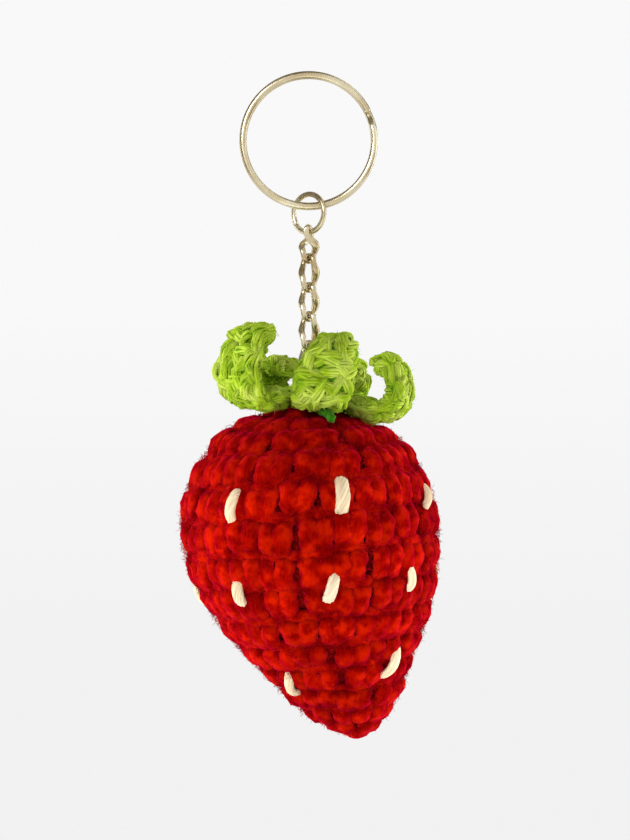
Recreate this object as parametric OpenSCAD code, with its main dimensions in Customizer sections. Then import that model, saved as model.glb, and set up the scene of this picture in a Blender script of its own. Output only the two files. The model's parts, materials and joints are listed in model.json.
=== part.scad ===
// Crocheted strawberry on a curb chain and a split ring. It hangs from the split ring's eye, which is the origin.
// X runs to the right, Y to the back and Z up. The split ring lies in the XZ plane.

/* [Split ring] */
// Outside diameter of the split ring
ring_od = 25; // [24:0.5:28]
// Width of its wire along a radius
ring_wire_w = 1.3; // [1.1:0.1:1.4]
// Thickness of one of its two coils
ring_wire_t = 1.0; // [0.8:0.05:1.0]
// Where the wire steps from the front coil to the back one, in degrees above +X
ring_step_at = 18; // [0:1:60]

/* [Jump ring] */
// Outside diameter of the jump ring
jump_od = 7.9; // [7.9:0.1:8.3]
// Wire diameter of the jump ring
jump_wire = 1.0; // [0.8:0.05:1.0]
// Depth of its centre below the split ring's centre
jump_drop = 13.1; // [12.9:0.1:13.2]
// Turn of its plane from the split ring's plane, right side to the front
jump_turn = 38; // [37:1:42]

/* [Chain] */
// Wire diameter of the links
link_wire = 1.0; // [0.8:0.05:1.0]
// Outside width of a link
link_w = 3.6; // [3.5:0.1:4.0]
// Distance from one link to the next
link_pitch = 5.23; // [5:0.01:5.6]
// Play between two linked wires
link_play = 0.06; // [0.04:0.01:0.1]

/* [Strawberry] */
// Height of the crocheted body
berry_h = 58.5; // [56:0.5:60]
// Largest radius of the body
berry_r = 23.4; // [22.6:0.1:24]
// Sideways place of the body's middle line under the crown
berry_shoulder_x = -1.4; // [-2:0.1:-1]
// Sideways place of the tip
berry_tip_x = 8.8; // [7:0.1:9.5]
// Slope of the crochet rounds, rising to the right
round_slope = 5; // [3:0.5:7]
// Thickness of the crocheted cover at the side
cover_t = 2.6; // [2.2:0.1:3]

/* [Calyx] */
// Radius of the calyx disc
calyx_r = 5.6; // [5.2:0.1:5.7]
// Thickness of the calyx disc
calyx_t = 2.8; // [2.4:0.1:2.9]
// Slope of the calyx, falling to the right
calyx_slope = 6; // [4:0.5:7]
// Thickness of a leaf
leaf_t = 3.4; // [3:0.1:3.6]

/* [Stitches] */
// Diameter of the cream seed yarn
seed_yarn = 2.4; // [2:0.1:2.6]
// Diameter of the hanging loop's yarn
loop_yarn = 1.0; // [0.8:0.05:1.0]

/* [Hidden] */
LINKS = 5;
// Seed rows: name, place along the body (0 crown, 1 tip), and each stitch's azimuth, half length, lean and its own
// shift along the body.
SEED_ROWS = [
    ["upper", 0.262, [[-124.5, 1.8, -1, 0], [-73.5, 2.05, -2.6, -0.006], [-22, 1.6, -5, 0.028], [42, 2.0, 4, 0.01],
        [100, 2.4, -3, -0.01], [162, 2.2, 4, 0]]],
    ["middle", 0.525, [[-129, 1.6, -2, 0], [-84, 1.8, -3.8, 0], [-42, 1.75, -0.5, 0], [14, 2.0, -4, 0.01],
        [66, 2.3, 5, -0.01], [120, 2.1, -6, 0], [174, 2.2, 4, 0.01]]],
    ["lower", 0.8, [[-135, 1.2, -3, 0.022], [-46, 2.0, -8.5, -0.023], [50, 2.0, 6, 0.01], [132, 1.8, -8, -0.01]]]
];
SEEDS = [for (row = SEED_ROWS) for (i = [0 : len(row[2]) - 1])
    [str("seed_", row[0], "_", i + 1), row[1], row[2][i]]];
// Leaves: name and azimuth; the droop from the disc, the straight stretch there, the upward bend's radius and angle,
// the straight rise, the tip curl's radius and angle; the widths at root, middle and tip; the tip's sideways drift.
LEAVES = [
    ["leaf_left", 214, [12, 4.2, 4.4, 114, 4.9, 2.1, 150], [5.8, 13.2, 8.0], 0],
    ["leaf_front", -86, [0, 2.0, 3.4, 90, 4.3, 2.6, 115], [5.8, 11.0, 4.6], -2.8],
    ["leaf_right", -18, [12, 4.1, 4.0, 122, 2.1, 2.0, 145], [5.8, 9.6, 6.0], 0],
    ["leaf_back_right", 64, [0, 2.6, 2.8, 90, 2.2, 2.4, 160], [5.8, 9.0, 6.0], 0],
    ["leaf_back_left", 134, [0, 2.4, 2.6, 90, 1.0, 2.2, 160], [5.8, 8.6, 6.0], 0]
];

BRASS = [0.70, 0.62, 0.45];
GREEN = [0.58, 0.74, 0.15];
DARK_GREEN = [0.16, 0.42, 0.08];
RED = [0.76, 0.05, 0.03];
CREAM = [0.93, 0.86, 0.70];
WHITE = [0.93, 0.93, 0.91];

ring_r = ring_od / 2 - ring_wire_w / 2;
coil_gap = 0.02;
jump_r = (jump_od - jump_wire) / 2;
link_end_r = (link_w - link_wire) / 2;
link_half = (link_pitch + link_wire + link_play) / 2;
// Height of the wire centre at the top of each link
function link_top(i) = -jump_drop - jump_r + jump_wire / 2 + link_wire / 2 + link_play - (i - 1) * link_pitch;
// The first link turns further than the others, because the jump ring crosses it at another angle.
function link_top_turn(i) = i == 1 ? -110 : -45;
link_bottom_turn = 45;
loop_pivot_z = link_top(LINKS) - 2 * link_half;
loop_top_z = loop_pivot_z + link_wire / 2 + loop_yarn / 2 + link_play;

crown_z = -48.6;
crown_hole_r = 2.3;
calyx_x = 0.95;
calyx_hole_r = 2.75;
calyx_z = -46.9;
leaf_hinge_r = 7.2;
leaf_root_r = 1.35;
// A leaf starts thinner than its rounded root, so that it leaves the root's side at a clear angle.
leaf_neck_t = 2.3;
// Inside the crown: the loop's yarns end in a knot, which sits in a pocket in the stuffing.
loop_foot_z = -52;
knot_z = -54;
knot_r = 2.5;
pocket_r = 4.2;
pocket_floor_z = -57.2;
pocket_top_z = -47.2;
// The yarn that draws the crown's first round shut runs in a ring just under it.
drawstring_r = 3.1;
drawstring_yarn = 1.4;
drawstring_z = crown_z - 4.1;
// The calyx is sewn down with small arched stitches.
stitch_arch_r = 0.7;
stitch_yarn = 0.8;
// Depth that a seed stitch sinks into the cover
seed_sink = 0.75;
round_sides = 32;
bead_fn = 32;
// A bead at a rod's end is this much wider than the rod, so that the two surfaces cross and don't only touch.
bead_over = 0.01;

// Radius of the body, as shares of its largest radius, at places from the crown (0) to the tip (1)
PROFILE_S = [0, 0.04, 0.1, 0.2, 0.35, 0.5, 0.65, 0.8, 0.9, 0.965, 0.992, 1];
PROFILE_R = [0.08, 0.535, 0.745, 0.91, 1, 0.943, 0.795, 0.555, 0.403, 0.237, 0.12, 0.03];
PROFILE_LAST = len(PROFILE_S) - 1;

function profile_slope(i) =
    let (a = max(i - 1, 0), b = min(i + 1, PROFILE_LAST))
    (PROFILE_R[b] - PROFILE_R[a]) / (PROFILE_S[b] - PROFILE_S[a]);
function profile_span(s, i = 0) = i >= PROFILE_LAST - 1 || s <= PROFILE_S[i + 1] ? i : profile_span(s, i + 1);
function body_r(s) =
    let (
        i = profile_span(s),
        h = PROFILE_S[i + 1] - PROFILE_S[i],
        t = (s - PROFILE_S[i]) / h
    )
    berry_r * (
        (2 * t ^ 3 - 3 * t ^ 2 + 1) * PROFILE_R[i] + (t ^ 3 - 2 * t ^ 2 + t) * h * profile_slope(i)
        + (3 * t ^ 2 - 2 * t ^ 3) * PROFILE_R[i + 1] + (t ^ 3 - t ^ 2) * h * profile_slope(i + 1)
    );
function body_centre(s) = [
    min(1, s / 0.04) * (berry_shoulder_x + 0.9 * s + (berry_tip_x - berry_shoulder_x - 0.9) * s * s),
    0,
    crown_z - berry_h * s
];
function body_tilt(s) = round_slope - (round_slope + calyx_slope) * max(0, 1 - s / 0.12) ^ 2;
function body_point(s, azimuth, out = 0) =
    let (r = body_r(s) + out, tilt = body_tilt(s))
    body_centre(s) + [r * cos(azimuth) * cos(tilt), r * sin(azimuth), r * cos(azimuth) * sin(tilt)];

// A closed solid through a stack of rings of points, all with the same number of points.
module skin(rings) {
    n = len(rings[0]);
    last = len(rings) - 1;
    polyhedron(
        points = [for (ring = rings) each ring],
        faces = concat(
            [[for (j = [0 : n - 1]) j]],
            [for (i = [0 : last - 1], j = [0 : n - 1]) [i * n + j, (i + 1) * n + j, i * n + (j + 1) % n]],
            [for (i = [0 : last - 1], j = [0 : n - 1])
                [i * n + (j + 1) % n, (i + 1) * n + j, (i + 1) * n + (j + 1) % n]],
            [[for (j = [n - 1 : -1 : 0]) last * n + j]]
        )
    );
}

// A round rod between two points, with round ends if round_end is true.
module rod(p, q, r, round_end = true) {
    v = q - p;
    translate(p) rotate([0, acos(v.z / norm(v)), atan2(v.y, v.x)]) cylinder(r = r, h = norm(v), $fn = bead_fn);
    if (round_end) for (end = [p, q]) translate(end) sphere(r = r + bead_over, $fn = bead_fn);
}

// Part of a round wire ring that stands in a vertical plane, from an angle above the plane's own +X.
module wire_arc(r, wire, turn, from, angle) {
    rotate([90, 0, turn]) rotate([0, 0, from])
        rotate_extrude(angle = angle, $fn = 96) translate([r, 0]) circle(d = wire, $fn = bead_fn);
}

module flat_wire_profile(shift, inset = 0) {
    b = 0.22;
    w = ring_wire_w / 2 - inset;
    t = ring_wire_t / 2 - inset;
    translate([ring_r, shift])
        polygon([[-w, b - t], [b - w, -t], [w - b, -t], [w, b - t], [w, t - b], [w - b, t], [b - w, t], [-w, t - b]]);
}

module split_ring() {
    step_half = 7;
    end_gap = 0.8;
    coil_angle = 360 - 2 * step_half - end_gap;
    layer = ring_wire_t / 2 + coil_gap;
    slice = 0.3;
    inset = 0.04;
    color(BRASS) rotate([90, 0, 0]) rotate([0, 0, ring_step_at]) {
        rotate([0, 0, step_half + end_gap])
            rotate_extrude(angle = coil_angle, $fn = 180) flat_wire_profile(layer);
        rotate([0, 0, step_half])
            rotate_extrude(angle = coil_angle, $fn = 180) flat_wire_profile(-layer);
        hull() {
            rotate([0, 0, -step_half - 0.1 - slice])
                rotate_extrude(angle = slice, $fn = 180) flat_wire_profile(layer, inset);
            rotate([0, 0, step_half + 0.1])
                rotate_extrude(angle = slice, $fn = 180) flat_wire_profile(-layer, inset);
        }
    }
}

module jump_ring() {
    cut = 4;
    color(BRASS) translate([0, 0, -jump_drop]) wire_arc(jump_r, jump_wire, -jump_turn, 212 + cut, 360 - cut);
}

module chain_link(i) {
    middle = (link_top_turn(i) + link_bottom_turn) / 2;
    color(BRASS) translate([0, 0, link_top(i) - link_half]) {
        translate([0, 0, link_half - link_end_r]) wire_arc(link_end_r, link_wire, link_top_turn(i), 0, 180);
        translate([0, 0, link_end_r - link_half]) wire_arc(link_end_r, link_wire, link_bottom_turn, 180, 180);
        for (side = [0, 180]) {
            high = [link_end_r * cos(link_top_turn(i) + side), link_end_r * sin(link_top_turn(i) + side),
                link_half - link_end_r];
            low = [link_end_r * cos(link_bottom_turn + side), link_end_r * sin(link_bottom_turn + side),
                link_end_r - link_half];
            mid = [link_end_r * cos(middle + side), link_end_r * sin(middle + side), 0];
            rod(high, mid, link_wire / 2, false);
            rod(mid, low, link_wire / 2, false);
            for (p = [high, mid, low]) translate(p) sphere(d = link_wire + 2 * bead_over, $fn = bead_fn);
        }
    }
}

module hanging_loop() {
    shoulder_z = loop_top_z - link_end_r;
    color(GREEN) {
        translate([0, 0, shoulder_z]) wire_arc(link_end_r, loop_yarn, -45, 0, 180);
        for (side = [0, 180]) {
            x = link_end_r * cos(side - 45);
            y = link_end_r * sin(side - 45);
            translate([x, y, loop_foot_z]) cylinder(d = loop_yarn, h = shoulder_z - loop_foot_z, $fn = bead_fn);
        }
    }
}

module anchor_knot() {
    color(GREEN) translate([0, 0, knot_z]) sphere(r = knot_r, $fn = bead_fn);
}

module crown_drawstring() {
    color(RED) translate([0, 0, drawstring_z]) rotate_extrude($fn = 64)
        translate([drawstring_r, 0]) circle(d = drawstring_yarn, $fn = bead_fn);
}

// Puts a child drawn round the calyx's own centre in place.
module on_calyx() {
    translate([calyx_x, 0, calyx_z]) rotate([0, calyx_slope, 0]) children();
}

module calyx_centre() {
    color(GREEN) on_calyx() rotate_extrude($fn = 96) polygon([
        [calyx_hole_r, -calyx_t / 2], [calyx_r - 0.7, -calyx_t / 2], [calyx_r, 0.5 - calyx_t / 2],
        [calyx_r, calyx_t / 2 - 0.6], [calyx_r - 0.8, calyx_t / 2], [calyx_hole_r, calyx_t / 2]
    ]);
}

module calyx_stitches() {
    color(GREEN) on_calyx() for (leaf = LEAVES) rotate([0, 0, leaf[1] + 34])
        translate([3.9, 0, calyx_t / 2 - 0.3]) wire_arc(stitch_arch_r, stitch_yarn, 20, 0, 180);
}

module calyx_yarn_end() {
    color(DARK_GREEN) rod([3.2, -11.4, crown_z - 0.9], [3.8, -12.7, crown_z - 1.7], 0.6);
}

// Straight and bent stretches of a leaf's middle line: [length, radius], with no radius where it is straight.
function leaf_stretches(leaf) =
    let (c = leaf[2])
    [[c[1], 0], [c[2] * c[3] * PI / 180, c[2]], [c[4], 0], [c[5] * c[6] * PI / 180, c[5]]];
function leaf_length(leaf) = let (part = leaf_stretches(leaf)) part[0][0] + part[1][0] + part[2][0] + part[3][0];
// Where a line that starts at place [outwards, height, direction] gets to after a length along one stretch.
function bend(place, length, r) =
    let (a = place[2], b = r == 0 ? a : a + length / r * 180 / PI)
    r == 0 ? [place[0] + length * cos(a), place[1] + length * sin(a), a]
        : [place[0] + r * (sin(b) - sin(a)), place[1] + r * (cos(a) - cos(b)), b];
function walk(stretches, d, place, i = 0) =
    i == len(stretches) || d <= 0 ? place
        : walk(stretches, d - stretches[i][0], bend(place, min(d, stretches[i][0]), stretches[i][1]), i + 1);
function leaf_width(leaf, t) =
    let (w = leaf[3], bulge = sin(180 * t ^ 0.75) ^ 0.8)
    (w[0] * (1 - t) + w[2] * t) * (1 - bulge) + w[1] * bulge;
function leaf_section(leaf, t) =
    let (
        step = walk(leaf_stretches(leaf), leaf_length(leaf) * t, [leaf_hinge_r, 0, -leaf[2][0]]),
        end_share = t < 0.9 ? 1 : sqrt(max(0.05, 1 - ((t - 0.9) / 0.1) ^ 2)),
        w = leaf_width(leaf, t) / 2 * end_share,
        h = (leaf_neck_t + (leaf_t - leaf_neck_t) * min(1, t * 4)) / 2 * end_share
    )
    [for (a = [0 : 30 : 330]) [
        step[0] - sin(step[2]) * h * sin(a),
        w * cos(a) + leaf[4] * t ^ 2,
        step[1] + cos(step[2]) * h * sin(a)
    ]];

LEAF_STEPS = [0, 0.07, 0.14, 0.21, 0.28, 0.35, 0.42, 0.49, 0.56, 0.63, 0.7, 0.77, 0.84, 0.9, 0.94, 0.97, 0.99];

module leaf(leaf) {
    color(GREEN) on_calyx() rotate([0, 0, leaf[1]]) {
        skin([for (t = LEAF_STEPS) leaf_section(leaf, t)]);
        translate([leaf_hinge_r, -leaf[3][0] / 2, 0]) rotate([-90, 0, 0])
            cylinder(r = leaf_root_r, h = leaf[3][0], $fn = bead_fn);
    }
}

BODY_STEPS = [for (i = [0 : 24]) (1 - cos(180 * i / 24)) / 2];

// The body's outer form, shrunk by share towards the middle of the strawberry.
module body_form(share = 1) {
    middle = [body_centre(0.4).x, 0, body_centre(0.4).z];
    translate(middle) scale(share) translate(-middle)
        skin([for (s = BODY_STEPS) [for (j = [0 : round_sides - 1]) body_point(s, -360 * j / round_sides)]]);
}

module berry_cover() {
    color(RED) difference() {
        body_form();
        body_form(1 - cover_t / berry_r);
        translate([0, 0, crown_z - 6]) cylinder(r = crown_hole_r, h = 8, $fn = 64);
    }
}

module stuffing() {
    color(WHITE) difference() {
        body_form(1 - (cover_t + 0.15) / berry_r);
        translate([0, 0, pocket_floor_z]) cylinder(r = pocket_r, h = pocket_top_z - pocket_floor_z, $fn = 64);
    }
}

module seed(seed) {
    s = seed[1] + seed[2][3];
    azimuth = seed[2][0];
    reach = seed[2][1] / berry_h;
    lean = seed[2][2] / 2;
    lift = seed_yarn / 2 - seed_sink;
    color(CREAM) rod(body_point(s - reach, azimuth - lean, lift), body_point(s + reach, azimuth + lean, lift),
        seed_yarn / 2);
}

split_ring();
jump_ring();
for (i = [1 : LINKS]) chain_link(i);
hanging_loop();
anchor_knot();
crown_drawstring();
calyx_centre();
calyx_stitches();
calyx_yarn_end();
for (leaf = LEAVES) leaf(leaf);
berry_cover();
stuffing();
for (seed = SEEDS) seed(seed);
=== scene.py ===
import json
import math
import random

import bpy
import numpy as np
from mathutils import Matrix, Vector
from mathutils.bvhtree import BVHTree
from mathutils.kdtree import KDTree


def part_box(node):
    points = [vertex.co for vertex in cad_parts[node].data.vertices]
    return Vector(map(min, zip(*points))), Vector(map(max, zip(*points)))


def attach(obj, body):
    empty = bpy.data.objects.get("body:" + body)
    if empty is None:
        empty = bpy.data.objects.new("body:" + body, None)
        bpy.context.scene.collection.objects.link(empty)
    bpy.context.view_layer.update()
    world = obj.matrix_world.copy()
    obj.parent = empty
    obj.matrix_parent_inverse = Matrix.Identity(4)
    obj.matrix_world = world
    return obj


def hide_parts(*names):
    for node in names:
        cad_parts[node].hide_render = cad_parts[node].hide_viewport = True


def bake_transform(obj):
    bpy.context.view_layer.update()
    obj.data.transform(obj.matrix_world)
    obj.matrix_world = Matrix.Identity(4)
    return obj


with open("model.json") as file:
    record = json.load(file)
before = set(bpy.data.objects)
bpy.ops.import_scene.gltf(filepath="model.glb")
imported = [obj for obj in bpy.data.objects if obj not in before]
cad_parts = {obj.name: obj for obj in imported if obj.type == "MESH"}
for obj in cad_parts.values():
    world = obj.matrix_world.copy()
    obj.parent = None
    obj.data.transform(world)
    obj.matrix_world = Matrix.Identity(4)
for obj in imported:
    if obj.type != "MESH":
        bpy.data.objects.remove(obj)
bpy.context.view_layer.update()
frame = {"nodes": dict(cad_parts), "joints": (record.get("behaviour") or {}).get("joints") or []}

MM = 0.001
rng = random.Random(7)
joints = {joint["name"]: joint for joint in frame["joints"]}


# ---------------- sizes, in millimetres and degrees

RING_WIRE_W = 1.3
RING_WIRE_T = 1.0
RING_COIL_GAP = 0.04       # between the split ring's two coils
RING_STEP_AT = 18          # where the wire steps from the front coil to the back one
RING_STEP_HALF = 7         # half of the angle that the step takes up
RING_END_GAP = 0.8         # angle between the step and each end of the wire
JUMP_WIRE = 1.0
JUMP_TURN = 38             # the jump ring's turn about the vertical
JUMP_CUT_AT = 214
JUMP_CUT_HALF = 2
LINK_WIRE = 1.0
LINK_W = 3.6
LINK_TOP_TURN = -45
FIRST_LINK_TOP_TURN = -110
LINK_BOTTOM_TURN = 45
LINK_BAR_SWELL = 0.22      # the links' bars are wider than their ends by this share
LINK_FRONT_SWELL = 0.28    # and each link's right bar by this much more
LINK_FLAT_Y = 1.2          # the links' faces are ground flat at this distance from the chain's middle plane

CROWN_Z = -48.6
BERRY_H = 58.5
BERRY_R = 23.4
SHOULDER_X = -1.4
TIP_X = 8.8
ROUND_SLOPE = 5
CALYX_SLOPE = 6
CALYX_PLACE = (0.95, 0, -46.9)

RED_YARN_R = 1.78
YARN_FLATNESS = 0.62       # the berry's yarn is pressed flat by this share
LOOP_SHARE = 0.66          # a stitch's top loop is drawn thinner than its legs
PAINTED_SHADE_END = 2.2             # painted shade darkens the berry's yarn over this length at its ends
ROUND_FIBRES = 5200        # loose fibres on the widest round
ROUND_FIBRE = 0.65
GREEN_YARN_R = 1.05
LEAF_ROW_H = 1.75
LEAF_END = 0.95            # the leaf's stitches stay within this share of its length
LEAF_EDGE = 0.84           # and this share of its half width
LEAF_FIBRES = 700
LEAF_FIBRE = 0.9
SEED_YARN_R = 1.25
SEED_FLATNESS = 0.6
SEED_USUAL_PULL = 0.92     # a seed's yarn is drawn to this share of its width
# Seeds whose yarn is drawn tighter, or lies looser, than that.
SEED_PULL = {"seed_upper_1": 0.82, "seed_upper_2": 1.0, "seed_middle_2": 0.86, "seed_upper_3": 0.66,
             "seed_middle_3": 0.66, "seed_lower_2": 0.78, "seed_lower_1": 0.74, "seed_middle_7": 0.7}
STITCH_W = 6.15            # width of a stitch on the berry
ROUND_H_NARROW = 3.1       # height of a round where the berry is thin
ROUND_H_WIDE = 3.1         # what the widest round has beyond that
ROUND_EDGE_AT = 0.411      # share of the berry's height at one edge between two rounds
COVER_DEPTH = 1.9          # the knitted ground lies this far under the outer form
COVER_T = 0.9
SWELL_CAP = 0.7            # the most that the stuffing pushes the cover out or lets it sink
SIM_SCALE = 30             # the simulated copy is this many times as large
SIM_MESH = 1.6             # spacing of the simulated cloth's points
SIM_FRAMES = 24
SIM_CLOTH = {"quality": 5, "mass": 0.3, "use_pressure": True, "uniform_pressure_force": 6,
             "tension_stiffness": 5, "compression_stiffness": 5, "shear_stiffness": 2,
             "bending_stiffness": 0.5}

# Leaves: the droop from the disc, the straight stretch there, the upward bend's radius and angle,
# the straight rise, the tip curl's radius and angle; half widths at root, middle and tip; the tip's drift.
LEAVES = {
    "leaf_left": ((12, 4.2, 4.4, 114, 4.9, 2.1, 150), (2.9, 6.6, 4.0), 0),
    "leaf_front": ((0, 2.0, 3.4, 90, 4.3, 2.6, 115), (2.9, 5.5, 2.3), -2.8),
    "leaf_right": ((12, 4.1, 4.0, 122, 2.1, 2.0, 145), (2.9, 4.8, 3.0), 0),
    "leaf_back_right": ((0, 2.6, 2.8, 90, 2.2, 2.4, 160), (2.9, 4.5, 3.0), 0),
    "leaf_back_left": ((0, 2.4, 2.6, 90, 1.0, 2.2, 160), (2.9, 4.3, 3.0), 0),
}

FLOOR_Z = -175
STAGE_R = 1300
STAGE_FLAT = 0.55          # share of the stage's radius that is flat floor
STAGE_WALL = 900
LIGHT_TARGET = (0, 0, -60)
CAMERA_PLACE = (1.14, -358, -50.4)
CAMERA_LENS = 85


# ---------------- curves and tubes

FULL_TURN = 6.28           # radians, for phases drawn at random
PLY_WIDTH = 1.12           # plies are this much wider than they need to be to touch
PLY_RELIEF = 0.06          # how far a soft yarn's plies stand out, as a share of its radius
YARN_LUMPS = [(0.06, 2.1, 0), (0.05, 3.7, 2), (0.05, 4.6, -3)]   # height, waves along the yarn and round it
FIBRE_STEPS = np.array([0, 0.35, 0.7, 1.0])                      # places along a loose fibre
FIBRE_TAPER = np.array([1.0, 1.0, 0.8, 0.4])                     # and its thickness there


def spline(points, step):
    """A smooth curve through the points, sampled about every step millimetres."""
    p = np.array(points, float)
    p = np.vstack([2 * p[0] - p[1], p, 2 * p[-1] - p[-2]])
    out = []
    for i in range(1, len(p) - 2):
        a, b, c, d = p[i - 1 : i + 3]
        count = max(2, round(float(np.linalg.norm(c - b)) / step))
        t = np.arange(count)[:, None] / count
        out.append(0.5 * (2 * b + (c - a) * t + (2 * a - 5 * b + 4 * c - d) * t**2
                          + (3 * b - a - 3 * c + d) * t**3))
    out.append(p[-2][None, :])
    return np.vstack(out)


def unit(v):
    return v / np.maximum(np.linalg.norm(v, axis=-1, keepdims=True), 1e-9)


def lengths_along(path):
    return np.concatenate([[0], np.cumsum(np.linalg.norm(np.diff(path, axis=0), axis=1))])


def from_ends(along):
    """Distance to the nearer end."""
    return np.minimum(along, along[-1] - along)


def circle(count):
    """Angles of count points round a circle."""
    return np.arange(count) * math.tau / count


def eased(share):
    """A share from 0 to 1 that starts and stops gently."""
    return share * share * (3 - 2 * share)


def narrowed(path, radius, blunt):
    """Lengths along a path, and a radius that closes over blunt millimetres at both its ends."""
    along = lengths_along(path)
    full = np.clip(from_ends(along) / blunt, 0, 1)
    return along, (0.35 + 0.65 * np.sqrt(1 - (1 - full) ** 2)) * radius


def frames_along(path, up=None):
    """Two directions across the path at each point, carried along it without twist."""
    tangent = unit(np.gradient(path, axis=0))
    side = np.array(up if up is not None else (0.31, 0.17, 0.93), float)
    sides = []
    for t in tangent:
        side = side - t * (side @ t)
        if np.linalg.norm(side) < 1e-6:
            side = np.cross(t, (1.0, 0.0, 0.0)) + np.cross(t, (0.0, 1.0, 0.0))
        side = side / np.linalg.norm(side)
        sides.append(side)
    sides = np.array(sides)
    return sides, np.cross(tangent, sides)


def ring_faces(rings, sides):
    """Four-cornered faces between rings of points."""
    faces = []
    for i in range(rings - 1):
        for j in range(sides):
            q = (j + 1) % sides
            faces.append((i * sides + j, (i + 1) * sides + j, (i + 1) * sides + q, i * sides + q))
    return faces


def add_object(name, data):
    made = bpy.data.objects.new(name, data)
    bpy.context.scene.collection.objects.link(made)
    return made


def mesh_object(name, points, faces, material, smooth=True):
    """A new object from points in millimetres."""
    mesh = bpy.data.meshes.new(name)
    mesh.from_pydata((np.asarray(points) * MM).tolist(), [], faces)
    mesh.polygons.foreach_set("use_smooth", [smooth] * len(mesh.polygons))
    mesh.materials.append(material)
    return add_object(name, mesh)


class Parts:
    """Tubes and skins gathered into one mesh. Each vertex knows its place in its own straightened strand."""

    def __init__(self):
        self.points, self.faces, self.strand, self.tone = [], [], [], []
        self.count = 0
        self.strands = 0

    def rings(self, grid, strand=None, tone=0.5, closed=False, caps=True):
        """A skin over rings of points: grid is rings x points x 3."""
        n, m = grid.shape[:2]
        if strand is None:
            strand = np.zeros(grid.shape)
        base = self.count
        self.points.append(grid.reshape(-1, 3))
        self.strand.append(strand.reshape(-1, 3))
        self.tone.append(np.repeat(np.broadcast_to(tone, (n,)), m))
        self.count += n * m
        rows = range(n if closed else n - 1)
        for i in rows:
            k = (i + 1) % n
            for j in range(m):
                q = (j + 1) % m
                self.faces.append((base + i * m + j, base + i * m + q, base + k * m + q, base + k * m + j))
        if caps and not closed:
            self.faces.append(tuple(base + j for j in range(m - 1, -1, -1)))
            self.faces.append(tuple(base + (n - 1) * m + j for j in range(m)))

    def tube(self, path, across, over, radius, sides, tone, along):
        """A round tube along a path, with one radius for each point or each vertex."""
        angle = circle(sides)
        u, v = radius * np.cos(angle), radius * np.sin(angle)
        grid = path[:, None, :] + u[..., None] * across[:, None, :] + v[..., None] * over[:, None, :]
        strand = np.stack([np.broadcast_to(along[:, None], u.shape), u, v + 20 * self.strands], -1)
        self.strands += 1
        self.rings(grid, strand, tone)

    def plied_yarn(self, path, radius, pitch, plies=3, core=0.42):
        """A tight yarn of plies that turn round each other once in each pitch."""
        across, over = frames_along(path)
        along, swell = narrowed(path, radius, 0.6)
        for k in range(plies):
            turn = math.tau * (along / pitch + k / plies)
            offset = core * swell[:, None] * (np.cos(turn)[:, None] * across + np.sin(turn)[:, None] * over)
            self.tube(path + offset, across, over, (1 - core) * swell[:, None] * PLY_WIDTH, 6, 0.5, along)

    def soft_yarn(self, path, radius, side, tone, end_shade, pitch=10.0, sides=14):
        """A thick soft yarn, pressed flat across side: one body with three shallow plies that turn round it.

        Slow lumps run along it and round it, and its ends are painted darker, as shade where it dives under
        its neighbours."""
        across, over = frames_along(path, side)
        along, swell = narrowed(path, radius, 2.0)
        angle = circle(sides)
        phase = rng.uniform(0, FULL_TURN)
        relief = PLY_RELIEF * np.cos(3 * (angle[None, :] - math.tau * along[:, None] / pitch) + phase)
        for height, waves, turns in YARN_LUMPS:
            start = rng.uniform(0, FULL_TURN)
            relief = relief + height * np.sin(along[:, None] * waves + turns * angle[None, :] + start)
        radii = swell[:, None] * (1 + relief)
        # Painted shade: the tone falls towards the yarn's ends, where it dives under its neighbours.
        end = 1 - np.clip(from_ends(along) / PAINTED_SHADE_END, 0, 1)
        self.tube(path, across, over * YARN_FLATNESS, radii, sides, tone - end_shade * end, along)

    def flat_yarn(self, path, radius, side, strands=9, strand_r=0.42, pitch=11.0):
        """A short soft yarn of fine strands in one layer round it, pressed flat across side."""
        across, over = frames_along(path, side)
        along, swell = narrowed(path, radius - strand_r, 1.6)
        start = rng.uniform(0, FULL_TURN)
        tone = rng.uniform(0.4, 0.7)
        for k in range(strands):
            turn = math.tau * (along / pitch + k / strands) + start
            reach = np.cos(turn)[:, None] * across + SEED_FLATNESS * np.sin(turn)[:, None] * over
            r = strand_r * rng.uniform(0.85, 1.15) * (0.6 + 0.4 * swell[:, None] / swell.max())
            strand_tone = tone + rng.uniform(-0.25, 0.25)
            self.tube(path + swell[:, None] * reach, across, over, r, 6, strand_tone, along)

    def loose_yarn(self, path, radius, tone=0.5, strands=8, strand_r=0.34, pitch=24.0):
        """A yarn of many fine strands that lie side by side, hardly twisted, each with its own wander."""
        across, over = frames_along(path)
        along, swell = narrowed(path, radius - strand_r, 1.2)
        for k in range(strands):
            turn = math.tau * (along / pitch + (k + rng.uniform(-0.25, 0.25)) / strands)
            deep = rng.uniform(0.72, 1.08)
            wave = 0.10 * np.sin(along * rng.uniform(0.8, 1.5) + rng.uniform(0, FULL_TURN))
            reach = swell * deep + wave
            offset = reach[:, None] * (np.cos(turn)[:, None] * across + np.sin(turn)[:, None] * over)
            r = strand_r * rng.uniform(0.8, 1.15) * (0.45 + 0.55 * swell[:, None] / swell.max())
            self.tube(path + offset, across, over, r, 5, tone + rng.uniform(-0.35, 0.35), along)

    def fuzz(self, roots, ways, length, radius=0.035, tone=0.8):
        """Loose fibres that leave their roots along the given ways and bend over."""
        for root, way in zip(roots, ways):
            bend = unit(np.array([rng.gauss(0, 1), rng.gauss(0, 1), rng.gauss(0, 1) - 0.3]))
            far = length * rng.uniform(0.5, 1.3)
            steps = FIBRE_STEPS[:, None]
            path = root + way * far * steps + bend * far * 0.55 * steps**2
            across, over = frames_along(path)
            self.tube(path, across, over, radius * FIBRE_TAPER[:, None], 3, tone, FIBRE_STEPS * far)

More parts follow.
